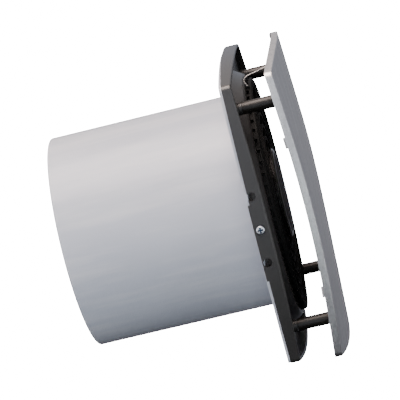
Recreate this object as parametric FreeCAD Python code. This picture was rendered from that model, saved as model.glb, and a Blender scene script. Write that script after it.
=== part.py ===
"""Bathroom extractor fan, 150 mm duct class, with a square metal front panel held off on four posts.

Millimetres. The duct's axis is Y: the panel faces -Y and the duct runs into the wall towards +Y.
The wall's surface is y = 0 and the origin is where the duct's axis meets it. +Z is up.
Depths in front of the wall are written as positive numbers and turned into -y where they are used.
FAR is a depth in front of the whole fan.
"""
import FreeCAD, Part
import math
import os

Vector = FreeCAD.Vector
CENTRE = Vector(0, 0, 0)
AXIS = Vector(0, 1, 0)
FAR = 60.0
os.makedirs("parts", exist_ok=True)

# Duct and wall flange
DUCT_R = 75.0
DUCT_WALL = 2.0
DUCT_LENGTH = 130.9
DUCT_LIP_ROUND = 0.9
BORE_R = DUCT_R - DUCT_WALL
FLANGE = 1.8
FLANGE_HALF = 95.0
FLANGE_BOW = 8.0

# Bowed square outline of the cover: corners at +-COVER_HALF, the sides' middles COVER_BOW further out
COVER_HALF = 95.3
COVER_BOW = 10.5
COVER_CORNER = 4.0
COVER_WALL = 2.2
COVER_FLOOR = 3.6
SKIRT_Z = (-35.0, 17.0)
SKIRT_BACK = 0.5
COVER_DOME = (15.2, 3.28, 0.6)
COVER_EASE = 0.9
BOSS_DEPTH = 10.7
COLLAR = ((92.0, 3.6), (87.0, 11.1), (85.8, 12.3), (83.8, 12.8))
COLLAR_GAP = 0.3

# Front panel, the same outline a little larger, with its own dome
PANEL_HALF = 97.6
PANEL_BOW = 9.8
PANEL_CORNER = 5.0
PANEL_DOME = (43.4, 1.74, 3.9)
PANEL_DEPTH = 4.9
PANEL_SKIN = 1.2
PANEL_EASE = 0.7
BACKING_GAP = 0.2
BACKING_THICK = 2.2
EDGE_CLIP = (7.0, 1.6, 1.2)
EDGE_CLIP_Z = 51.0

# Posts and the pins that plug into the cover's bosses
POST_AT = 75.8
POST_R = 4.25
POST_BORE_R = 1.25
POST_BORE_END = 24.0
POST_SCREW_R = 1.6
BOSS_R = 4.3
SPLIT = 0.3
PIN_R = 2.0
PIN_FIT = 0.06
PIN_LENGTH = 8.0

# Wall screws, and the screws that hold the cover to the flange's side lugs
WALL_HOLE_AT = 69.0
WALL_HOLE_R = 2.25
WALL_SINK_R = 4.4
LUG_DEPTH = 8.9
LUG_SIZE = (5.0, 9.0)
LUG_GAP = 0.4
SIDE_SCREW_DEPTH = 4.8
SIDE_SCREW_R = 1.5
SIDE_HEAD_R = 3.0
SIDE_HEAD = 1.9
SIDE_SHANK = 7.6
HEAD_ROUND = 1.1
CROSS = (4.0, 1.1)
CROSS_DEPTH = 1.3
SIDE_HOLE_R = 3.0
SIDE_HOLE_Z = 22.7
SIDE_HOLE_DEPTH = 4.1
SIDE_HOLE_LENGTH = 12.0

# Inlet guard: a bell-mouthed ring with short ribs round its edge, and rings and spokes across its mouth
GUARD_R = 83.0
GUARD_DEPTH = 16.8
GUARD_BRIM = 2.2
GUARD_BODY_R = 81.0
RIB_COUNT = 64
RIB_WIDTH = 2.0
BAR_THICK = 2.4
BAR_DEPTH = 16.1
RING_R = (40.0, 48.5, 57.0, 65.5)
RING_WIDTH = 2.2
SPOKE_COUNT = 8
SPOKE_WIDTH = 2.6
CAP_R = 31.5
CAP_DEPTH = 19.1
CAP_SEAT = 3.0
CAP_GROOVE = (18.0, 19.0, 0.6)

# Impeller
HUB_R = 30.0
HUB_WALL = 1.8
HUB_FRONT = 3.0
HUB_BACK = 40.0
BLADE_COUNT = 8
BLADE_TIP_R = 71.0
BLADE_THICK = 2.0
BLADE_CHORD = (31.0, 38.0, 42.0)
BLADE_PITCH = (62.0, 42.0, 30.0)
SHAFT_R = 3.0
SHAFT_FRONT = -1.0
SHAFT_BACK = 94.0
BUSH_FIT = 0.05

# Motor and the vanes that carry it
CUP_R = 30.0
CUP_WALL = 2.0
CUP_FRONT = 44.0
CUP_BACK = 100.0
VANE_COUNT = 4
VANE_THICK = 2.0
VANE_FRONT = 50.0
VANE_BACK = 92.0
VANE_SWEEP = 8.0
VANE_START = 45.0
MOTOR_R = CUP_R - CUP_WALL
MOTOR_WALL = 1.6
MOTOR_FRONT = 46.0
MOTOR_BACK = 94.0
CORE_FRONT = 60.0
CORE_BACK = 82.0
AIR_GAP = 0.4
ROTOR_R = 13.6
SLOT_COUNT = 8
BUSH_R = 6.5
BUSH_LENGTH = 7.0

# Supply terminals in the cover's tray, near its lower edge
TERMINAL_AT = (49.0, -92.3)
TERMINAL_SIZE = (26.0, 11.0, 6.2)
POLE_COUNT = 3
POLE_PITCH = 8.0
ENTRY_AT = (28.0, -95.0)
ENTRY_R = 4.6

# Lead that tethers the panel to the guard
TETHER_R = 0.35
TETHER_ROUTE = ((-22.0, -14.4, 81.7), (-22.8, -11.7, 86.4), (-21.0, -15.7, 88.9),
                (-18.4, -25.5, 90.0), (-17.0, -36.7, 93.6))
TETHER_BENDS = (2.0, 2.0, 14.0)
EYELET_CLEAR = 0.3
SOCKET_CLEAR = 0.25


def save(shape, node):
    """Write one node, cleaned of leftover seams."""
    shape.removeSplitter().exportStep("parts/%s.step" % node)


def tube(r_out, r_in, y0, y1):
    """Ring or disc about the duct's axis, from y0 to y1."""
    body = Part.makeCylinder(r_out, y1 - y0, Vector(0, y0, 0), AXIS)
    if r_in > 0:
        body = body.cut(Part.makeCylinder(r_in, y1 - y0, Vector(0, y0, 0), AXIS))
    return body


def rod(r, x, z, y0, y1):
    """Cylinder parallel to the duct's axis through (x, z)."""
    return Part.makeCylinder(r, y1 - y0, Vector(x, y0, z), AXIS)


def box(x0, x1, y0, y1, z0, z1):
    return Part.makeBox(x1 - x0, y1 - y0, z1 - z0, Vector(x0, y0, z0))


def turned(points):
    """Solid of revolution about the duct's axis from (radius, y) points, closed in order."""
    corners = [Vector(r, y, 0) for r, y in points]
    face = Part.Face(Part.makePolygon(corners + corners[:1]))
    return face.revolve(CENTRE, AXIS, 360)


def around(shape, count, start=0.0):
    """Copies of a shape spaced evenly about the duct's axis."""
    copies = []
    for k in range(count):
        copy = shape.copy()
        copy.rotate(CENTRE, AXIS, start + 360.0 * k / count)
        copies.append(copy)
    return copies


def bowed_square(half, bow, corner, depth0, depth1):
    """Prism with four bowed sides and rounded corners, between two depths in front of the wall."""
    y = -depth0
    spots = [(half, half), (-half, half), (-half, -half), (half, -half)]
    middles = [(0, half + bow), (-half - bow, 0), (0, -half - bow), (half + bow, 0)]
    sides = []
    for k in range(4):
        start, end, middle = spots[k], spots[(k + 1) % 4], middles[k]
        points = [Vector(x, y, z) for x, z in (start, middle, end)]
        sides.append(Part.Arc(*points).toShape())
    prism = Part.Face(Part.Wire(sides)).extrude(Vector(0, depth0 - depth1, 0))
    edges = [e for e in prism.Edges if abs(abs(e.CenterOfMass.x) - half) < 0.01
             and abs(abs(e.CenterOfMass.z) - half) < 0.01]
    return prism.makeFillet(corner, edges)


def dome_slab(dome, half, depth0, depth1):
    """Everything between two copies of a domed surface, depth0 and depth1 behind it.

    dome is its depth at the centre, its fall along each axis at half, and its extra fall at the corners.
    """
    centre, fall, corner_fall = dome
    reach = 1.3
    bend = [reach ** 2, -reach ** 2, reach ** 2]
    surface = Part.BezierSurface()
    surface.increase(2, 2)
    for i in range(3):
        for j in range(3):
            depth = centre - fall * (bend[i] + bend[j]) - corner_fall * bend[i] * bend[j]
            pole = Vector((i - 1) * reach * half, depth0 - depth, (j - 1) * reach * half)
            surface.setPole(i + 1, j + 1, pole)
    return surface.toShape().extrude(Vector(0, depth1 - depth0, 0))


def eased(body, dome, half, radius):
    """Round the edges that lie on a domed front and on the sides of a bowed square."""
    centre, fall, corner_fall = dome
    edges = []
    for edge in body.Edges:
        points = edge.discretize(5)
        on_front = all(abs(-p.y - centre + fall * ((p.x / half) ** 2 + (p.z / half) ** 2)
                           + corner_fall * (p.x * p.z / half ** 2) ** 2) < 0.02 for p in points)
        if on_front:
            edges.append(edge)
    return body.makeFillet(radius, edges)


def post_spots():
    return [(x, z) for x in (-POST_AT, POST_AT) for z in (-POST_AT, POST_AT)]


def wall_spots():
    return [(x, z) for x in (-WALL_HOLE_AT, WALL_HOLE_AT) for z in (-WALL_HOLE_AT, WALL_HOLE_AT)]


def side_x():
    """Outer face of the cover at the middle of its +X side."""
    return COVER_HALF + COVER_BOW


def lug(side, grow=0.0):
    """Block on the flange just inside the cover's side wall, behind its screw."""
    thick, wide = LUG_SIZE
    outer = side_x() - COVER_WALL - LUG_GAP
    x = sorted((side * (outer - thick - grow), side * (outer + grow)))
    return box(x[0], x[1], -LUG_DEPTH, 0, -wide / 2 - grow, wide / 2 + grow)


def duct_body():
    """Plastic spigot with its wall flange and a lug in each side for the cover's screw."""
    spigot = Part.makeCylinder(DUCT_R, DUCT_LENGTH, CENTRE, AXIS)
    rim = [e for e in spigot.Edges if abs(e.CenterOfMass.y - DUCT_LENGTH) < 0.01]
    spigot = spigot.makeFillet(DUCT_LIP_ROUND, rim)
    flange = bowed_square(FLANGE_HALF, FLANGE_BOW, COVER_CORNER, 0, FLANGE)
    body = spigot.fuse([flange, lug(-1), lug(1)])
    cuts = [tube(BORE_R, 0, -COVER_FLOOR, DUCT_LENGTH)]
    cuts += [rod(WALL_HOLE_R, x, z, -FLANGE, 0) for x, z in wall_spots()]
    cuts.append(rod(ENTRY_R, *ENTRY_AT, -FLANGE, 0))
    for side in (-1, 1):
        cuts.append(Part.makeCylinder(SIDE_SCREW_R, SIDE_SHANK, Vector(side * side_x(), -SIDE_SCREW_DEPTH, 0),
                                      Vector(-side, 0, 0)))
    return body.cut(cuts)


def skirts():
    """Lips of the cover's side walls that lap over the flange's edge, beside the screws."""
    ring = bowed_square(COVER_HALF, COVER_BOW, COVER_CORNER, SKIRT_BACK, FLANGE)
    ring = ring.cut(bowed_square(COVER_HALF - COVER_WALL, COVER_BOW, COVER_CORNER - COVER_WALL, 0, FLANGE))
    spans = ((-side_x(), -DUCT_R), (DUCT_R, side_x()))
    return [ring.common(box(x0, x1, -FLANGE, 0, *SKIRT_Z)) for x0, x1 in spans]


def cover():
    """Dark tray on the flange: bowed rim, recessed floor and four bosses for the posts."""
    outer = bowed_square(COVER_HALF, COVER_BOW, COVER_CORNER, FLANGE, FAR)
    outer = outer.common(dome_slab(COVER_DOME, COVER_HALF, 0, FAR))
    pocket = bowed_square(COVER_HALF - COVER_WALL, COVER_BOW, COVER_CORNER - COVER_WALL, COVER_FLOOR, FAR)
    inside = GUARD_R + COLLAR_GAP
    collar = turned([(inside, -FLANGE), (COLLAR[0][0], -FLANGE)] + [(r, -depth) for r, depth in COLLAR]
                    + [(inside, -COLLAR[-1][1])])
    bosses = [rod(BOSS_R, x, z, -BOSS_DEPTH, -FLANGE) for x, z in post_spots()]
    tray = eased(outer.cut(pocket), COVER_DOME, COVER_HALF, COVER_EASE).fuse(bosses + [collar] + skirts())
    cuts = [tube(BORE_R, 0, -COVER_FLOOR, 0)]
    cuts += [rod(PIN_R + PIN_FIT, x, z, -FAR, 0) for x, z in post_spots()]
    for x, z in wall_spots():
        cuts.append(rod(WALL_HOLE_R, x, z, -COVER_FLOOR, 0))
        cuts.append(Part.makeCone(WALL_SINK_R, WALL_HOLE_R, 1.2, Vector(x, -COVER_FLOOR, z), AXIS))
    cuts.append(rod(ENTRY_R, *ENTRY_AT, -COVER_FLOOR, 0))
    for side in (-1, 1):
        inward = Vector(-side, 0, 0)
        wall_x = side * side_x()
        cuts.append(lug(side, LUG_GAP))
        cuts.append(Part.makeCylinder(SIDE_SCREW_R, SIDE_SHANK, Vector(wall_x, -SIDE_SCREW_DEPTH, 0), inward))
        for z in (-SIDE_HOLE_Z, SIDE_HOLE_Z):
            mouth = Vector(wall_x, -SIDE_HOLE_DEPTH, z)
            cuts.append(Part.makeCylinder(SIDE_HOLE_R, SIDE_HOLE_LENGTH, mouth, inward))
    return tray.cut(cuts)


def side_screws():
    """Pan-head cross screws, one in each side of the cover."""
    screws = []
    for side in (-1, 1):
        seat = side * side_x()
        inward = Vector(-side, 0, 0)
        base = Vector(seat, -SIDE_SCREW_DEPTH, 0)
        top = Vector(seat + side * SIDE_HEAD, -SIDE_SCREW_DEPTH, 0)
        head = Part.makeCylinder(SIDE_HEAD_R, SIDE_HEAD, top, inward)
        rim = [e for e in head.Edges if abs(e.CenterOfMass.x - top.x) < 0.01]
        head = head.makeFillet(HEAD_ROUND, rim)
        shank = Part.makeCylinder(SIDE_SCREW_R, SIDE_SHANK, base, inward)
        x0, x1 = sorted((top.x, top.x - side * CROSS_DEPTH))
        cross = [box(x0, x1, -SIDE_SCREW_DEPTH - wide / 2, -SIDE_SCREW_DEPTH + wide / 2, -tall / 2, tall / 2)
                 for wide, tall in (CROSS, CROSS[::-1])]
        screws.append(head.fuse(shank).cut(cross))
    return Part.makeCompound(screws)


def inlet_guard():
    """Bell-mouthed ring with ribbed edge, concentric rings and spokes, and the seat of the cap."""
    brim = -GUARD_DEPTH + GUARD_BRIM
    bell = turned([(BORE_R, -COVER_FLOOR), (GUARD_BODY_R, -COVER_FLOOR), (GUARD_BODY_R, brim),
                   (GUARD_R, brim), (GUARD_R, -GUARD_DEPTH + 1.2), (GUARD_R - 0.4, -GUARD_DEPTH + 0.4),
                   (GUARD_R - 1.2, -GUARD_DEPTH), (GUARD_R - 3.5, -GUARD_DEPTH),
                   (BORE_R + 2.5, -GUARD_DEPTH + 2.6), (BORE_R + 0.6, -GUARD_DEPTH + 5.6)])
    rib = box(-RIB_WIDTH / 2, RIB_WIDTH / 2, -GUARD_DEPTH + 1, -COVER_FLOOR, GUARD_BODY_R - 1, GUARD_R + 1)
    ribs = [r.common(tube(GUARD_R, GUARD_BODY_R - 1, -GUARD_DEPTH, 0)) for r in around(rib, RIB_COUNT)]
    rings = [tube(r + RING_WIDTH / 2, r - RING_WIDTH / 2, -BAR_DEPTH, -BAR_DEPTH + BAR_THICK) for r in RING_R]
    spoke = box(-SPOKE_WIDTH / 2, SPOKE_WIDTH / 2, -BAR_DEPTH + 0.4, -BAR_DEPTH + BAR_THICK,
                CAP_R - 4, BORE_R + 5)
    seat = tube(CAP_R - 1, CAP_R - 1 - CAP_SEAT, -BAR_DEPTH, -BAR_DEPTH + BAR_THICK + 2)
    return bell.fuse(ribs + rings + [seat] + around(spoke, SPOKE_COUNT, 180.0 / SPOKE_COUNT))


def centre_cap():
    """Glossy lid over the middle of the guard, with a groove and a skirt that plugs into the guard's seat."""
    inner, outer, deep = CAP_GROOVE
    lid = turned([(0, -CAP_DEPTH), (inner, -CAP_DEPTH), (inner, -CAP_DEPTH + deep),
                  (outer, -CAP_DEPTH + deep), (outer, -CAP_DEPTH), (CAP_R - 1.6, -CAP_DEPTH),
                  (CAP_R - 0.5, -CAP_DEPTH + 0.4),
                  (CAP_R, -CAP_DEPTH + 1.2), (CAP_R, -BAR_DEPTH), (0, -BAR_DEPTH)])
    skirt = CAP_R - 1 - CAP_SEAT
    return lid.fuse(tube(skirt, skirt - 2, -BAR_DEPTH, -BAR_DEPTH + 4))


def blade():
    """Twisted blade from hub to tip, trimmed to both radii."""
    sections = []
    middle = (HUB_FRONT + HUB_BACK) / 2
    for r, chord, pitch in zip((HUB_R - 3, 50.0, BLADE_TIP_R + 3), BLADE_CHORD, BLADE_PITCH):
        lean = math.radians(pitch)
        along = Vector(math.cos(lean), math.sin(lean), 0) * (chord / 2)
        across = Vector(-math.sin(lean), math.cos(lean), 0) * (BLADE_THICK / 2)
        centre = Vector(0, middle, r)
        corners = [centre - along - across, centre + along - across,
                   centre + along + across, centre - along + across]
        sections.append(Part.makePolygon(corners + corners[:1]))
    body = Part.makeLoft(sections, True, False)
    return body.common(tube(BLADE_TIP_R, HUB_R - 1, HUB_FRONT + 0.5, HUB_BACK - 0.5))


def impeller():
    """Blades on a hollow hub with a rounded nose and a sleeve for the shaft."""
    hub = turned([(0, HUB_FRONT), (HUB_R - 6, HUB_FRONT), (HUB_R - 1.8, HUB_FRONT + 1.8),
                  (HUB_R, HUB_FRONT + 6), (HUB_R, HUB_BACK), (HUB_R - HUB_WALL, HUB_BACK),
                  (HUB_R - HUB_WALL, HUB_FRONT + 5), (6.5, HUB_FRONT + 5), (6.5, HUB_BACK - 4),
                  (0, HUB_BACK - 4)])
    web = box(6, HUB_R - 1, HUB_FRONT + 4, HUB_BACK - 10, -0.9, 0.9)
    body = hub.fuse(around(blade(), BLADE_COUNT) + around(web, 6))
    return body.cut(tube(SHAFT_R, 0, HUB_FRONT - 1, HUB_BACK))


def impeller_nut():
    """Hexagon nut on the shaft's front end."""
    corners = [Vector(5.8 * math.cos(math.radians(60 * k)), HUB_FRONT, 5.8 * math.sin(math.radians(60 * k)))
               for k in range(7)]
    nut = Part.Face(Part.makePolygon(corners)).extrude(Vector(0, -3.2, 0))
    return nut.cut(tube(SHAFT_R, 0, HUB_FRONT - 4, HUB_FRONT))


def motor_carrier():
    """Cup for the motor, swept vanes, and the band that seats in the duct."""
    cup = tube(CUP_R, MOTOR_R, CUP_FRONT, CUP_BACK).fuse(tube(CUP_R, 0, CUP_BACK - 3, CUP_BACK))
    band = tube(BORE_R, BORE_R - 1.6, VANE_FRONT - 4, VANE_BACK + 4)
    sections = []
    middle = (VANE_FRONT + VANE_BACK) / 2
    for y, turn in ((VANE_FRONT, VANE_SWEEP), (middle, VANE_SWEEP / 5), (VANE_BACK, 0.0)):
        corners = [Vector(x, y, z) for x, z in ((-VANE_THICK / 2, CUP_R - 1), (VANE_THICK / 2, CUP_R - 1),
                                                (VANE_THICK / 2, BORE_R - 1), (-VANE_THICK / 2, BORE_R - 1))]
        section = Part.makePolygon(corners + corners[:1])
        section.rotate(CENTRE, AXIS, turn)
        sections.append(section)
    vane = Part.makeLoft(sections, True, False)
    body = cup.fuse([band] + around(vane, VANE_COUNT, VANE_START))
    vents = around(rod(2.4, 0, 20.0, CUP_BACK - 4, CUP_BACK + 1), 6, 30)
    holes = around(rod(1.3, 0, MOTOR_R - 5, CUP_BACK - 4, CUP_BACK + 1), 3)
    return body.cut(vents + holes + [tube(BUSH_R + 1, 0, CUP_BACK - 4, CUP_BACK + 1)])


def motor_shell():
    """Drawn steel can, open at the back, with a seat for the front bush."""
    can = tube(MOTOR_R, 0, MOTOR_FRONT, MOTOR_BACK)
    can = can.cut([tube(MOTOR_R - MOTOR_WALL, 0, MOTOR_FRONT + MOTOR_WALL, MOTOR_BACK),
                   tube(BUSH_R, 0, MOTOR_FRONT, MOTOR_BACK)])
    vents = around(rod(2.6, 0, 18.0, MOTOR_FRONT, MOTOR_FRONT + 3), 8)
    return can.cut(vents)


def motor_end_plate():
    """Plate that closes the can and seats against the cup, with three tapped pads."""
    plate = tube(MOTOR_R, BUSH_R, MOTOR_BACK, CUP_BACK - 3)
    return plate.cut(around(rod(1.3, 0, MOTOR_R - 5, MOTOR_BACK, CUP_BACK), 3))


def motor_screws():
    """Three pan-head screws through the cup's floor into the end plate."""
    screw = rod(1.3, 0, MOTOR_R - 5, MOTOR_BACK, CUP_BACK)
    screw = screw.fuse(rod(2.6, 0, MOTOR_R - 5, CUP_BACK, CUP_BACK + 1.8))
    slot = box(-2.6, 2.6, CUP_BACK + 1.0, CUP_BACK + 1.8, MOTOR_R - 5.3, MOTOR_R - 4.7)
    return Part.makeCompound(around(screw.cut(slot), 3))


def stator_core():
    """Slotted lamination stack inside the can."""
    inner = ROTOR_R + AIR_GAP
    stack = tube(MOTOR_R - MOTOR_WALL, inner, CORE_FRONT, CORE_BACK)
    slot = box(-2.4, 2.4, CORE_FRONT, CORE_BACK, inner + 1.6, 21.0)
    mouth = box(-0.8, 0.8, CORE_FRONT, CORE_BACK, inner - 1, inner + 2)
    return stack.cut(around(slot.fuse(mouth), SLOT_COUNT))


def stator_windings():
    """Two rings of end turns, one each side of the stack."""
    rings = []
    for y0, y1 in ((CORE_FRONT - 7, CORE_FRONT), (CORE_BACK, CORE_BACK + 7)):
        low, high = y0 + 1.5, y1 - 1.5
        rings.append(turned([(15.8, y0), (21.5, y0), (23.0, low), (23.0, high), (21.5, y1), (15.8, y1)]))
    return Part.makeCompound(rings)


def rotor_core():
    return tube(ROTOR_R, SHAFT_R, CORE_FRONT, CORE_BACK)


def shaft():
    """Steel spindle with a chamfered back end."""
    spindle = tube(SHAFT_R, 0, SHAFT_FRONT, SHAFT_BACK)
    ends = [e for e in spindle.Edges if e.Closed]
    return spindle.makeChamfer(0.5, ends)


def bush(y0):
    """Sintered sleeve that the shaft runs in."""
    return tube(BUSH_R, SHAFT_R + BUSH_FIT, y0, y0 + BUSH_LENGTH)


def terminal_block():
    """Three-pole block on the tray's floor with a wire port and a screw well for each pole."""
    x, z = TERMINAL_AT
    wide, tall, high = TERMINAL_SIZE
    block = box(x - wide / 2, x + wide / 2, -COVER_FLOOR - high, -COVER_FLOOR, z - tall / 2, z + tall / 2)
    cuts = []
    for k in range(POLE_COUNT):
        pole = x + (k - 1) * POLE_PITCH
        cuts.append(rod(1.7, pole, z, -COVER_FLOOR - high, -COVER_FLOOR - 2))
        port = Vector(pole, -COVER_FLOOR - 3.6, z - tall / 2)
        cuts.append(Part.makeCylinder(1.4, tall, port, Vector(0, 0, 1)))
    return block.cut(cuts)


def terminal_screws():
    """One clamping screw in each pole's well."""
    x, z = TERMINAL_AT
    screws = []
    for k in range(POLE_COUNT):
        pole = x + (k - 1) * POLE_PITCH
        body = rod(1.7, pole, z, -COVER_FLOOR - 5.6, -COVER_FLOOR - 2)
        screws.append(body.cut(box(pole - 2, pole + 2, -COVER_FLOOR - 5.6, -COVER_FLOOR - 4.8,
                                   z - 0.3, z + 0.3)))
    return Part.makeCompound(screws)


def entry_grommet():
    """Rubber grommet through the floor and the flange, where the supply comes out of the wall."""
    grommet = turned([(2.6, 0), (ENTRY_R, 0), (ENTRY_R, -COVER_FLOOR), (ENTRY_R + 1.4, -COVER_FLOOR),
                      (ENTRY_R + 0.9, -COVER_FLOOR - 1.4), (2.6, -COVER_FLOOR - 1.4)])
    grommet.translate(Vector(ENTRY_AT[0], 0, ENTRY_AT[1]))
    return grommet


def front_panel():
    """Domed metal skin with its edges returned towards the wall."""
    solid = bowed_square(PANEL_HALF, PANEL_BOW, PANEL_CORNER, 0, FAR)
    solid = solid.common(dome_slab(PANEL_DOME, PANEL_HALF, 0, PANEL_DEPTH))
    solid = eased(solid, PANEL_DOME, PANEL_HALF, PANEL_EASE)
    pocket = bowed_square(PANEL_HALF - PANEL_SKIN, PANEL_BOW, PANEL_CORNER - PANEL_SKIN, 0, FAR)
    pocket = pocket.common(dome_slab(PANEL_DOME, PANEL_HALF, PANEL_SKIN, PANEL_DEPTH + 2))
    return solid.cut(pocket)


def panel_backing():
    """Plastic plate inside the skin, with the spigots' holes and the clips along its edges."""
    inset = PANEL_SKIN + BACKING_GAP
    plate = bowed_square(PANEL_HALF - inset, PANEL_BOW, PANEL_CORNER - inset, 0, FAR)
    plate = plate.common(dome_slab(PANEL_DOME, PANEL_HALF, PANEL_SKIN, PANEL_SKIN + BACKING_THICK))
    length, proud, inside = EDGE_CLIP
    clips = []
    for side in (-1, 1):
        for z in (-EDGE_CLIP_Z, EDGE_CLIP_Z):
            x = side * (PANEL_HALF + PANEL_BOW * (1 - (z / PANEL_HALF) ** 2) - inset - 0.4)
            x0, x1 = sorted((x, x - side * inside * 2))
            clips.append(box(x0, x1, -FAR, 0, z - length / 2, z + length / 2))
    clip_slab = dome_slab(PANEL_DOME, PANEL_HALF, PANEL_SKIN, PANEL_DEPTH + proud)
    clips = [clip.common(clip_slab) for clip in clips]
    holes = [rod(POST_SCREW_R, x, z, -FAR, 0) for x, z in post_spots()]
    return plate.fuse(clips).cut(holes)


def panel_back_depth(x, z, behind):
    """Depth of the panel's domed surface at (x, z), less a distance behind it."""
    u, v = (x / PANEL_HALF) ** 2, (z / PANEL_HALF) ** 2
    centre, fall, corner_fall = PANEL_DOME
    return centre - fall * (u + v) - corner_fall * u * v - behind


def panel_posts():
    """Four round posts that end against the backing, each with the pin that plugs into a boss."""
    posts = []
    under = dome_slab(PANEL_DOME, PANEL_HALF, PANEL_SKIN + BACKING_THICK, FAR)
    for x, z in post_spots():
        post = rod(POST_R, x, z, -FAR, -BOSS_DEPTH - SPLIT).common(under)
        pin = rod(PIN_R, x, z, -BOSS_DEPTH - SPLIT - 0.01, -BOSS_DEPTH + PIN_LENGTH)
        tip = [e for e in pin.Edges if abs(e.CenterOfMass.y - PIN_LENGTH + BOSS_DEPTH) < 0.01]
        posts.append(post.fuse(pin.makeChamfer(0.6, tip)).cut(rod(POST_BORE_R, x, z, -FAR, -POST_BORE_END)))
    return Part.makeCompound(posts)


def post_screws():
    """Screws through the backing into the posts, their heads under the skin."""
    screws = []
    seat = panel_back_depth(POST_AT, POST_AT, PANEL_SKIN)
    for x, z in post_spots():
        head = rod(POST_SCREW_R, x, z, -seat + 0.5, -seat + BACKING_THICK - 0.4)
        screws.append(head.fuse(rod(POST_BORE_R, x, z, -seat + 0.5, -POST_BORE_END)))
    return Part.makeCompound(screws)


def tether():
    """Thin lead from the guard's eyelet to the back of the panel: straight runs and tangent bends."""
    points = [Vector(*p) for p in TETHER_ROUTE]
    edges = []
    start = points[0]
    for k, radius in enumerate(TETHER_BENDS, 1):
        before = (points[k - 1] - points[k]).normalize()
        after = (points[k + 1] - points[k]).normalize()
        half = before.getAngle(after) / 2
        reach = radius / math.tan(half)
        enter = points[k] + before * reach
        leave = points[k] + after * reach
        inward = (before + after).normalize()
        middle = points[k] + inward * (radius / math.sin(half) - radius)
        edges.append(Part.makeLine(start, enter))
        edges.append(Part.Arc(enter, middle, leave).toShape())
        start = leave
    edges.append(Part.makeLine(start, points[-1]))
    path = Part.Wire(edges)
    ring = Part.Wire(Part.makeCircle(TETHER_R, points[0], points[1] - points[0]))
    body = path.makePipeShell([ring], True, True)
    print("tether length", round(path.Length, 2), "volume ratio",
          round(body.Volume / (math.pi * TETHER_R ** 2 * path.Length), 4))
    return body


def tether_eyelet():
    """Small lug on the guard's edge that the lead starts from."""
    x, y, z = TETHER_ROUTE[0]
    lug_block = box(x - 1.3, x + 1.3, y - 1.3, y + 1.3, z - 4.2, z - EYELET_CLEAR)
    return lug_block.cut(tube(GUARD_R, 0, y - 5, y + 5))


def tether_socket():
    """Crimp on the back of the panel that the lead ends in."""
    x, y, z = TETHER_ROUTE[-1]
    seat = panel_back_depth(x, z, PANEL_SKIN + BACKING_THICK)
    crimp = rod(1.5, x, z, -seat - 2, y - SOCKET_CLEAR)
    return crimp.common(dome_slab(PANEL_DOME, PANEL_HALF, PANEL_SKIN + BACKING_THICK, FAR))


NODES = {
    "duct_body": duct_body, "cover": cover, "side_screws": side_screws, "inlet_guard": inlet_guard,
    "centre_cap": centre_cap, "impeller": impeller, "impeller_nut": impeller_nut,
    "motor_carrier": motor_carrier, "motor_shell": motor_shell, "motor_end_plate": motor_end_plate,
    "motor_screws": motor_screws, "stator_core": stator_core, "stator_windings": stator_windings,
    "rotor_core": rotor_core, "shaft": shaft, "terminal_block": terminal_block,
    "terminal_screws": terminal_screws, "entry_grommet": entry_grommet, "front_panel": front_panel,
    "panel_backing": panel_backing, "panel_posts": panel_posts, "post_screws": post_screws,
    "tether": tether, "tether_eyelet": tether_eyelet, "tether_socket": tether_socket,
}

for node, build in NODES.items():
    save(build(), node)
save(bush(MOTOR_FRONT), "front_bush")
save(bush(CUP_BACK - 3 - BUSH_LENGTH), "rear_bush")
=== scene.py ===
import bpy
from mathutils import Matrix, Vector


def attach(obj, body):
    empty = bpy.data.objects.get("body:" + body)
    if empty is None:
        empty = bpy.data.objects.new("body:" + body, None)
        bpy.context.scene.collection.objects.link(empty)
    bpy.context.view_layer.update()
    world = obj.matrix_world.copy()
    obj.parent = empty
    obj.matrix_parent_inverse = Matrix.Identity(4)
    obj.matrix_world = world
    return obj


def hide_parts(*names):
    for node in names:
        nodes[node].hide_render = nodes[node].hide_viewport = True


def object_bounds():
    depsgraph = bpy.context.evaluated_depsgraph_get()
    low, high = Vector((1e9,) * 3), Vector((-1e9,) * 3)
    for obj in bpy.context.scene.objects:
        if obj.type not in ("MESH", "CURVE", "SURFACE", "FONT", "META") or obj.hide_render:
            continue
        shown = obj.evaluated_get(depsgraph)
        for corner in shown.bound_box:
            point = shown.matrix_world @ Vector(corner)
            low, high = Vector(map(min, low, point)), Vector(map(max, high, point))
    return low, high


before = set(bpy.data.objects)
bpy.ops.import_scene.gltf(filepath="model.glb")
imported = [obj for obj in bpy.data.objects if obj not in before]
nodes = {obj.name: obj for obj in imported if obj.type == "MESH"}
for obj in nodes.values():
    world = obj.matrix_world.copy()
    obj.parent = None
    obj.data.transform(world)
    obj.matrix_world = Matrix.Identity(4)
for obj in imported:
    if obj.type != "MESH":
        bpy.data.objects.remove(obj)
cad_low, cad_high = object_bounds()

# Camera: a long lens, square to the duct's side and a little above it, so the fan is seen edge on
# with its front panel just turned to the viewer. It is tilted about its own line of sight.
camera_place = Vector((-1.4096, -0.1031, 0.2803))
sight = Vector((0.97709, 0.09861, -0.18859)).normalized()
tilted_up = Vector((0.20691, -0.23287, 0.95024))
sideways = sight.cross(tilted_up).normalized()
lens = bpy.data.cameras.new("camera")
lens.lens = 185.0
lens.sensor_width = 36.0
lens.clip_start = 0.05
camera = bpy.data.objects.new("camera", lens)
facing = Matrix((sideways, sideways.cross(sight), -sight)).transposed().to_4x4()
camera.matrix_world = Matrix.Translation(camera_place) @ facing
bpy.context.scene.collection.objects.link(camera)
bpy.context.scene.camera = camera


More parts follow.
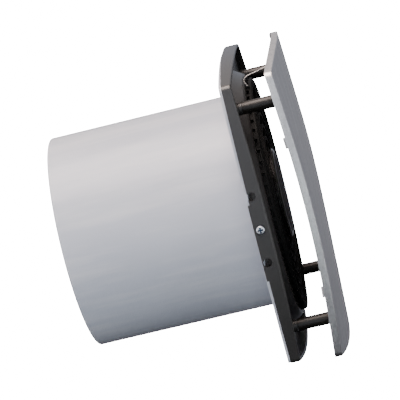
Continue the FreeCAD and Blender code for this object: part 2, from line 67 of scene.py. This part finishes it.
# Tether: a thin lead in pale plastic that keeps the panel from falling when it is pulled off. It comes
# out of an eyelet on the guard's edge, loops up, and ends in a crimp on the back of the panel.
class Value:
    """A value on its way through a finish. Arithmetic on it adds Math nodes."""

    def __init__(self, finish, socket):
        self.finish = finish
        self.socket = socket

    def sum_of(self, operation, *terms):
        return self.finish.add("ShaderNodeMath", {"operation": operation}, dict(enumerate(terms)))

    def __add__(self, other):
        return self.sum_of("ADD", self, other)

    def __rsub__(self, other):
        return self.sum_of("SUBTRACT", other, self)

    def __mul__(self, other):
        return self.sum_of("MULTIPLY", self, other)

    __radd__ = __add__


class Finish:
    """A surface finish: a material whose nodes are added one at a time round a Principled shader."""

    def __init__(self, name, **constants):
        self.material = bpy.data.materials.new(name)
        self.material.use_nodes = True
        self.tree = self.material.node_tree
        self.shader = self.tree.nodes["Principled BSDF"]
        self.place = self.add("ShaderNodeTexCoord", {}, {}, "Object")
        for socket, constant in constants.items():
            self.shader.inputs[socket.replace("_", " ")].default_value = constant

    def add(self, kind, settings, inputs, output=0):
        node = self.tree.nodes.new(kind)
        for name, setting in settings.items():
            if name == "stops":
                ramp = node.color_ramp.elements
                while len(ramp) < len(setting):
                    ramp.new(1.0)
                for stop, (position, shade) in zip(ramp, setting):
                    stop.position = position
                    stop.color = (shade, shade, shade, 1) if isinstance(shade, float) else (*shade, 1)
            else:
                setattr(node, name, setting)
        for name, given in inputs.items():
            if isinstance(given, Value):
                self.tree.links.new(given.socket, node.inputs[name])
            else:
                node.inputs[name].default_value = given
        return Value(self, node.outputs[output])

    def stretched(self, x, y, z):
        return self.add("ShaderNodeVectorMath", {"operation": "MULTIPLY"}, {0: self.place, 1: (x, y, z)})

    def noise(self, scale, detail=3.0, roughness=0.5, along=None, distortion=0.0):
        inputs = {"Vector": along or self.place, "Scale": scale, "Detail": detail,
                  "Roughness": roughness, "Distortion": distortion}
        return self.add("ShaderNodeTexNoise", {}, inputs)

    def ramp(self, value, *stops):
        return self.add("ShaderNodeValToRGB", {"stops": stops}, {"Fac": value})

    def mixed(self, share, first, second):
        settings = {"data_type": "RGBA"}
        first = first if isinstance(first, Value) else (*first, 1)
        second = second if isinstance(second, Value) else (*second, 1)
        return self.add("ShaderNodeMix", settings, {0: share, 6: first, 7: second}, 2)

    def relief(self, height, distance, strength=1.0, under=None):
        inputs = {"Height": height, "Distance": distance, "Strength": strength}
        if under:
            inputs["Normal"] = under
        return self.add("ShaderNodeBump", {}, inputs)

    def feed(self, socket, value):
        self.tree.links.new(value.socket, self.shader.inputs[socket])

    def on(self, *names):
        """Give this finish to CAD nodes by name."""
        for name in names:
            nodes[name].data.materials.clear()
            nodes[name].data.materials.append(self.material)


lead_finish = Finish("lead_plastic", Roughness=0.42)
yellowing = lead_finish.noise(900)
lead_finish.feed("Base Color", lead_finish.mixed(yellowing, (0.66, 0.62, 0.57), (0.78, 0.75, 0.71)))
tether_route = ((-22.0, -14.4, 81.7), (-22.8, -11.7, 86.4), (-21.0, -15.7, 88.9),
                (-18.4, -25.5, 90.0), (-17.0, -36.7, 93.6))
tether_radius = 0.00035
lead = bpy.data.curves.new("tether_lead", "CURVE")
lead.dimensions = "3D"
line = lead.splines.new("NURBS")
line.points.add(len(tether_route) - 1)
for point, place in zip(line.points, tether_route):
    point.co = (*(c / 1000 for c in place), 1.0)
line.order_u = 3
line.use_endpoint_u = True
line.resolution_u = 16
lead.bevel_depth = tether_radius
lead.bevel_resolution = 4
lead.materials.append(lead_finish.material)
tether = bpy.data.objects.new("tether_lead", lead)
bpy.context.scene.collection.objects.link(tether)
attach(tether, "fan_body")
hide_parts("tether")

# Duct spigot and wall flange: one injection moulding in light grey plastic. The tube is drawn off a
# polished core, so it is smooth with fine satin grain and faint streaks along its length in its gloss and
# relief; the same streaks are mixed paler into its colour as painted highlight streaks.
duct = Finish("duct_plastic", IOR=1.49, Coat_Weight=0.25, Coat_Roughness=0.13)
streaks = duct.noise(1.0, 4.0, 0.55, along=duct.stretched(90, 9, 90))
clouds = duct.noise(14.0, 3.0, 0.5)
grain = duct.noise(2600.0, 2.0, 0.6)
tint = duct.mixed(duct.ramp(clouds, (0.35, 0.0), (0.7, 1.0)), (0.470, 0.500, 0.565), (0.508, 0.538, 0.598))
# Painted highlight: pale streaks along the tube's length are mixed into its base colour to stand for the
# reflection of the overhead light.
painted_highlight_streaks = duct.ramp(streaks, (0.45, 0.0), (0.75, 1.0)) * 0.7
duct.feed("Base Color", duct.mixed(painted_highlight_streaks, tint, (0.65, 0.66, 0.69)))
duct.feed("Roughness", 0.25 + streaks * 0.16 + grain * 0.05)
duct.feed("Normal", duct.relief(grain, 0.00002, 0.5, duct.relief(streaks, 0.0003, 0.35)))
duct.on("duct_body")

# Cover: the dark tray that clips over the flange, moulded in anthracite plastic with a fine spark
# texture. A thin clear sheen over it lets the eased rim catch the light in a line.
cover = Finish("cover_plastic", IOR=1.5, Coat_Weight=0.4, Coat_Roughness=0.16)
spark = cover.noise(2200.0, 2.0, 0.6)
mottle = cover.noise(30.0, 4.0, 0.6)
cover.feed("Base Color", cover.mixed(mottle, (0.015, 0.014, 0.013), (0.023, 0.022, 0.021)))
cover.feed("Roughness", 0.34 + mottle * 0.10 + spark * 0.05)
cover.feed("Normal", cover.relief(spark, 0.00003, 0.5))
cover.on("cover")

# Screws: zinc plated. The pan heads in the cover's sides, which pull it on to the flange's lugs, are
# brighter, with painted shade that darkens their cross recess the deeper it goes.
zinc = Finish("zinc", Metallic=1.0)
plate = zinc.noise(700.0, 4.0, 0.6)
zinc.feed("Base Color", zinc.mixed(plate, (0.62, 0.63, 0.64), (0.80, 0.80, 0.78)))
zinc.feed("Roughness", 0.22 + plate * 0.2)
zinc.feed("Normal", zinc.relief(plate, 0.00002, 0.6))
zinc.on("motor_screws", "impeller_nut", "post_screws", "terminal_screws")
crossed = Finish("zinc_crossed", Metallic=1.0)
sideways_place = crossed.add("ShaderNodeSeparateXYZ", {}, {0: crossed.place})
head_top = max(v.co.x for v in nodes["side_screws"].data.vertices)
depth_in = head_top - crossed.add("ShaderNodeMath", {"operation": "ABSOLUTE"}, {0: sideways_place})
# Painted shade: the cross recess is painted dark blue-grey with depth below the head's top, and made rougher
# there.
painted_recess_shade = crossed.ramp(depth_in * 400, (0.10, 0.0), (0.22, 1.0))
wear = crossed.noise(700.0, 4.0, 0.6)
crossed.feed("Base Color", crossed.mixed(painted_recess_shade, (0.74, 0.76, 0.78), (0.05, 0.07, 0.11)))
crossed.feed("Roughness", 0.22 + wear * 0.2 + painted_recess_shade * 0.2)
crossed.feed("Normal", crossed.relief(wear, 0.00002, 0.6))
crossed.on("side_screws")

# Inlet guard: a satin black moulding that plugs into the tray's round collar. The small eyelet that
# holds the tether is made of the same plastic.
satin = Finish("guard_plastic", IOR=1.5, Specular_IOR_Level=0.12)
haze = satin.noise(40.0, 3.0, 0.6)
satin.feed("Base Color", satin.mixed(haze, (0.003, 0.003, 0.003), (0.006, 0.006, 0.006)))
satin.feed("Roughness", 0.50 + haze * 0.14)
satin.feed("Normal", satin.relief(satin.noise(2200.0, 2.0), 0.00002, 0.4))
satin.on("inlet_guard", "tether_eyelet")

# Centre cap: the guard's middle. It is satin like the guard but for a polished ring round its edge,
# which starts at a share of the cap's radius.
polish = Finish("cap_plastic", IOR=1.5, Specular_IOR_Level=0.12, Coat_Roughness=0.06, Coat_IOR=1.9)
smear = polish.noise(24.0, 3.0, 0.6)
flat = polish.add("ShaderNodeVectorMath", {"operation": "MULTIPLY"}, {0: polish.place, 1: (1, 0, 1)})
reach = polish.add("ShaderNodeVectorMath", {"operation": "LENGTH"}, {0: flat}, "Value")
ring_starts = 0.91
polished_from = max(abs(v.co.x) for v in nodes["centre_cap"].data.vertices) * ring_starts
polished = polish.add("ShaderNodeMath", {"operation": "GREATER_THAN"}, {0: reach, 1: polished_from})
polish.feed("Base Color", polish.mixed(smear, (0.004, 0.004, 0.004), (0.008, 0.007, 0.007)))
polish.feed("Roughness", 0.34 + smear * 0.16)
polish.feed("Coat Weight", polished)
polish.feed("Normal", polish.relief(polish.noise(160.0, 2.0), 0.00002, 0.3))
polish.on("centre_cap")

# Panel posts: round posts in brown-black plastic, screwed to the panel's backing, with the fine rings
# that turning leaves.
post = Finish("post_plastic", IOR=1.5, Specular_IOR_Level=0.35)
turned = post.noise(1.0, 3.0, 0.5, along=post.stretched(300, 2400, 300))
post.feed("Base Color", post.mixed(turned, (0.006, 0.005, 0.004), (0.012, 0.010, 0.008)))
post.feed("Roughness", 0.28 + turned * 0.15)
post.feed("Normal", post.relief(turned, 0.00002, 0.5))
post.on("panel_posts")

# Front panel: pressed aluminium sheet, domed, with its edges folded back. It is brushed from top to
# bottom, which shows as fine vertical lines over softer wide bands and a faint fleck.
metal = Finish("panel_metal", Metallic=1.0)
fine = metal.noise(1.0, 4.0, 0.7, along=metal.stretched(2600, 2600, 60))
bands = metal.noise(1.0, 3.0, 0.5, along=metal.stretched(260, 260, 9))
fleck = metal.noise(560.0, 3.0, 0.7)
shade = bands * 0.35 + fine * 0.3 + fleck * 0.35
contrast = metal.ramp(shade, (0.35, 0.0), (0.65, 1.0))
metal.feed("Base Color", metal.mixed(contrast, (0.46, 0.455, 0.45), (0.70, 0.695, 0.69)))
metal.feed("Roughness", 0.26 + fine * 0.18 + bands * 0.08)
metal.feed("Normal", metal.relief(fine, 0.00003, 0.6, metal.relief(fleck, 0.00002, 0.4)))
metal.on("front_panel")

# Panel backing: a grey plastic plate held in the folded edge by its clips. The socket that takes the
# tether's end is the same.
backing = Finish("backing_plastic")
weave = backing.noise(1500.0, 2.0)
backing.feed("Base Color", backing.mixed(backing.noise(20.0), (0.36, 0.37, 0.38), (0.42, 0.43, 0.44)))
backing.feed("Roughness", 0.45 + weave * 0.15)
backing.feed("Normal", backing.relief(weave, 0.00002, 0.5))
backing.on("panel_backing", "tether_socket")

# Impeller: one white moulding pressed on the shaft. It has the faint dust that a fan collects, in
# patches.
blades = Finish("impeller_plastic", IOR=1.48)
dust = blades.noise(60.0, 5.0, 0.65)
dusty = blades.ramp(dust, (0.45, 0.0), (0.8, 1.0))
blades.feed("Base Color", blades.mixed(dusty, (0.70, 0.70, 0.68), (0.55, 0.53, 0.49)))
blades.feed("Roughness", 0.34 + dust * 0.25)
blades.feed("Normal", blades.relief(blades.noise(1800.0), 0.00002, 0.4))
blades.on("impeller")

# Motor carrier: the motor's cup and the swept vanes that hold it, in a greyer grade of the duct's
# plastic with soft flow lines.
carrier = Finish("carrier_plastic", IOR=1.48)
flow = carrier.noise(40.0, 4.0, 0.6, distortion=0.6)
carrier.feed("Base Color", carrier.mixed(flow, (0.56, 0.565, 0.57), (0.64, 0.64, 0.64)))
carrier.feed("Roughness", 0.36 + flow * 0.18)
carrier.feed("Normal", carrier.relief(carrier.noise(1800.0), 0.00002, 0.5))
carrier.on("motor_carrier")

# Motor: a drawn and passivated steel can and end plate round varnished laminations and copper wire,
# with a ground shaft in two sintered bushes.
can = Finish("motor_steel", Metallic=1.0)
draw = can.noise(1.0, 4.0, 0.6, along=can.stretched(120, 900, 120))
can.feed("Base Color", can.mixed(draw, (0.30, 0.30, 0.29), (0.42, 0.42, 0.40)))
can.feed("Roughness", 0.32 + draw * 0.2)
can.on("motor_shell", "motor_end_plate")
stack = Finish("lamination_steel", Metallic=1.0)
sheet_edges = {"Vector": stack.place, "Scale": 320.0, "Distortion": 0.4}
sheets = stack.add("ShaderNodeTexWave", {"bands_direction": "Y"}, sheet_edges)
stack.feed("Base Color", stack.mixed(sheets, (0.12, 0.11, 0.11), (0.34, 0.33, 0.33)))
stack.feed("Roughness", 0.35 + sheets * 0.2)
stack.feed("Normal", stack.relief(sheets, 0.0001, 0.8))
stack.on("stator_core", "rotor_core")
copper = Finish("copper", Metallic=1.0)
wire_lay = {"Vector": copper.place, "Scale": 420.0, "Distortion": 2.0}
turns = copper.add("ShaderNodeTexWave", {"bands_direction": "DIAGONAL"}, wire_lay)
copper.feed("Base Color", copper.mixed(turns, (0.28, 0.10, 0.04), (0.72, 0.34, 0.16)))
copper.feed("Roughness", 0.25 + turns * 0.2)
copper.feed("Normal", copper.relief(turns, 0.0002, 0.9))
copper.on("stator_windings")
ground = Finish("shaft_steel", Metallic=1.0)
rings = ground.noise(1.0, 3.0, 0.5, along=ground.stretched(60, 3000, 60))
ground.feed("Base Color", ground.mixed(rings, (0.52, 0.52, 0.53), (0.68, 0.68, 0.68)))
ground.feed("Roughness", 0.16 + rings * 0.16)
ground.on("shaft")
sintered = Finish("bronze", Metallic=1.0)
pores = sintered.noise(2400.0, 3.0, 0.7)
sintered.feed("Base Color", sintered.mixed(pores, (0.34, 0.22, 0.10), (0.62, 0.44, 0.22)))
sintered.feed("Roughness", 0.4 + pores * 0.3)
sintered.on("front_bush", "rear_bush")

# Supply terminals: an ivory block with a screw well for each wire, and the rubber grommet beside it.
ivory = Finish("terminal_plastic")
ivory.feed("Base Color", ivory.mixed(ivory.noise(80.0), (0.66, 0.64, 0.57), (0.74, 0.72, 0.66)))
ivory.feed("Roughness", 0.35 + ivory.noise(900.0) * 0.2)
ivory.on("terminal_block")
rubber = Finish("grommet_rubber")
bloom = rubber.noise(300.0, 4.0, 0.6)
rubber.feed("Base Color", rubber.mixed(bloom, (0.018, 0.018, 0.018), (0.045, 0.044, 0.042)))
rubber.feed("Roughness", 0.6 + bloom * 0.25)
rubber.on("entry_grommet")

# Studio: a plain pale floor well below the fan, and a sky that is warm overhead, cool along the horizon
# and dim below. The floor throws no light back, as one far below would not, and is clear from beneath.
floor_finish = Finish("floor", Roughness=1.0, Emission_Strength=24.0)
paper = floor_finish.noise(3.0, 2.0)
floor_finish.feed("Base Color", floor_finish.mixed(paper, (0.78, 0.78, 0.78), (0.82, 0.82, 0.82)))
floor_finish.shader.inputs["Emission Color"].default_value = (1.0, 1.0, 1.0, 1)
floor_finish.feed("Alpha", 1 - floor_finish.add("ShaderNodeNewGeometry", {}, {}, "Backfacing"))
floor_size = 16.0
floor_drop = 0.35
bpy.ops.mesh.primitive_plane_add(size=floor_size, location=(3.0, 0, cad_low.z - floor_drop))
floor = bpy.context.object
floor.name = "floor"
floor.data.materials.append(floor_finish.material)
floor.visible_diffuse = False
floor.visible_glossy = False
floor.visible_transmission = False
studio = bpy.data.worlds.new("studio")
bpy.context.scene.world = studio
studio.use_nodes = True
sky = studio.node_tree
direction = sky.nodes.new("ShaderNodeTexCoord")
parts = sky.nodes.new("ShaderNodeSeparateXYZ")
sky.links.new(direction.outputs["Generated"], parts.inputs[0])


def sky_shades(axis, stops):
    """Colours laid over the sky along one axis, from -1 to 1."""
    share = sky.nodes.new("ShaderNodeMapRange")
    share.inputs["From Min"].default_value = -1.0
    shades = sky.nodes.new("ShaderNodeValToRGB")
    while len(shades.color_ramp.elements) < len(stops):
        shades.color_ramp.elements.new(1.0)
    for stop, (position, shade) in zip(shades.color_ramp.elements, stops):
        stop.position = (position + 1) / 2
        stop.color = (*shade, 1)
    sky.links.new(parts.outputs[axis], share.inputs["Value"])
    sky.links.new(share.outputs["Result"], shades.inputs["Fac"])
    return shades.outputs["Color"]


rise = sky_shades("Z", ((-1.0, (0.02, 0.02, 0.025)), (-0.55, (0.04, 0.04, 0.045)), (-0.2, (0.26, 0.27, 0.31)),
                        (0.15, (0.56, 0.60, 0.70)), (0.45, (0.80, 0.80, 0.84)), (0.75, (1.22, 1.08, 1.04)),
                        (1.0, (1.45, 1.22, 1.15))))
depth = sky_shades("X", ((-1.0, (1.15, 1.2, 1.25)), (-0.3, (1.0, 1.0, 1.0)), (0.55, (0.85, 0.85, 0.85))))
blend = sky.nodes.new("ShaderNodeMix")
blend.data_type = "RGBA"
blend.blend_type = "MULTIPLY"
blend.inputs[0].default_value = 1.0
sky.links.new(rise, blend.inputs[6])
sky.links.new(depth, blend.inputs[7])
sky.links.new(blend.outputs[2], sky.nodes["Background"].inputs["Color"])
sky.nodes["Background"].inputs["Strength"].default_value = 1.0


# Lights: a warm box and two narrow strips overhead, cooler boxes to the side and from the room, a low
# one behind, and a small card whose reflection shows only in the panel's folded edge.
def soft_box(name, place, size, power, tint):
    """Rectangular area light at a place, turned to the middle of the fan."""
    light = bpy.data.lights.new(name, "AREA")
    light.shape = "RECTANGLE"
    light.size, light.size_y = size
    light.energy = power
    light.color = tint
    lamp = bpy.data.objects.new(name, light)
    lamp.location = place
    lamp.visible_camera = False
    middle = (cad_low + cad_high) / 2
    lamp.rotation_euler = (middle - Vector(place)).to_track_quat("-Z", "X").to_euler()
    bpy.context.scene.collection.objects.link(lamp)


soft_box("top_box", (-0.25, 0.05, 1.5), (1.2, 0.8), 32.0, (1.0, 0.83, 0.75))
soft_box("strip_near", (-0.62, 0.08, 1.25), (1.6, 0.03), 1.6, (1.0, 0.93, 0.88))
soft_box("strip_far", (-0.48, 0.08, 1.32), (1.6, 0.04), 1.6, (1.0, 0.95, 0.92))
soft_box("side_box", (-1.7, -0.5, 0.55), (0.9, 0.9), 3.4, (0.92, 0.97, 1.0))
soft_box("room_box", (-0.9, -1.7, -0.35), (1.0, 0.8), 9.0, (0.94, 0.98, 1.0))
soft_box("low_box", (-1.3, 1.0, 0.05), (0.7, 0.3), 9.5, (1.0, 0.97, 0.97))
soft_box("edge_card", (-1.9, -0.4, -0.37), (0.3, 0.3), 3.6, (0.88, 1.0, 1.0))
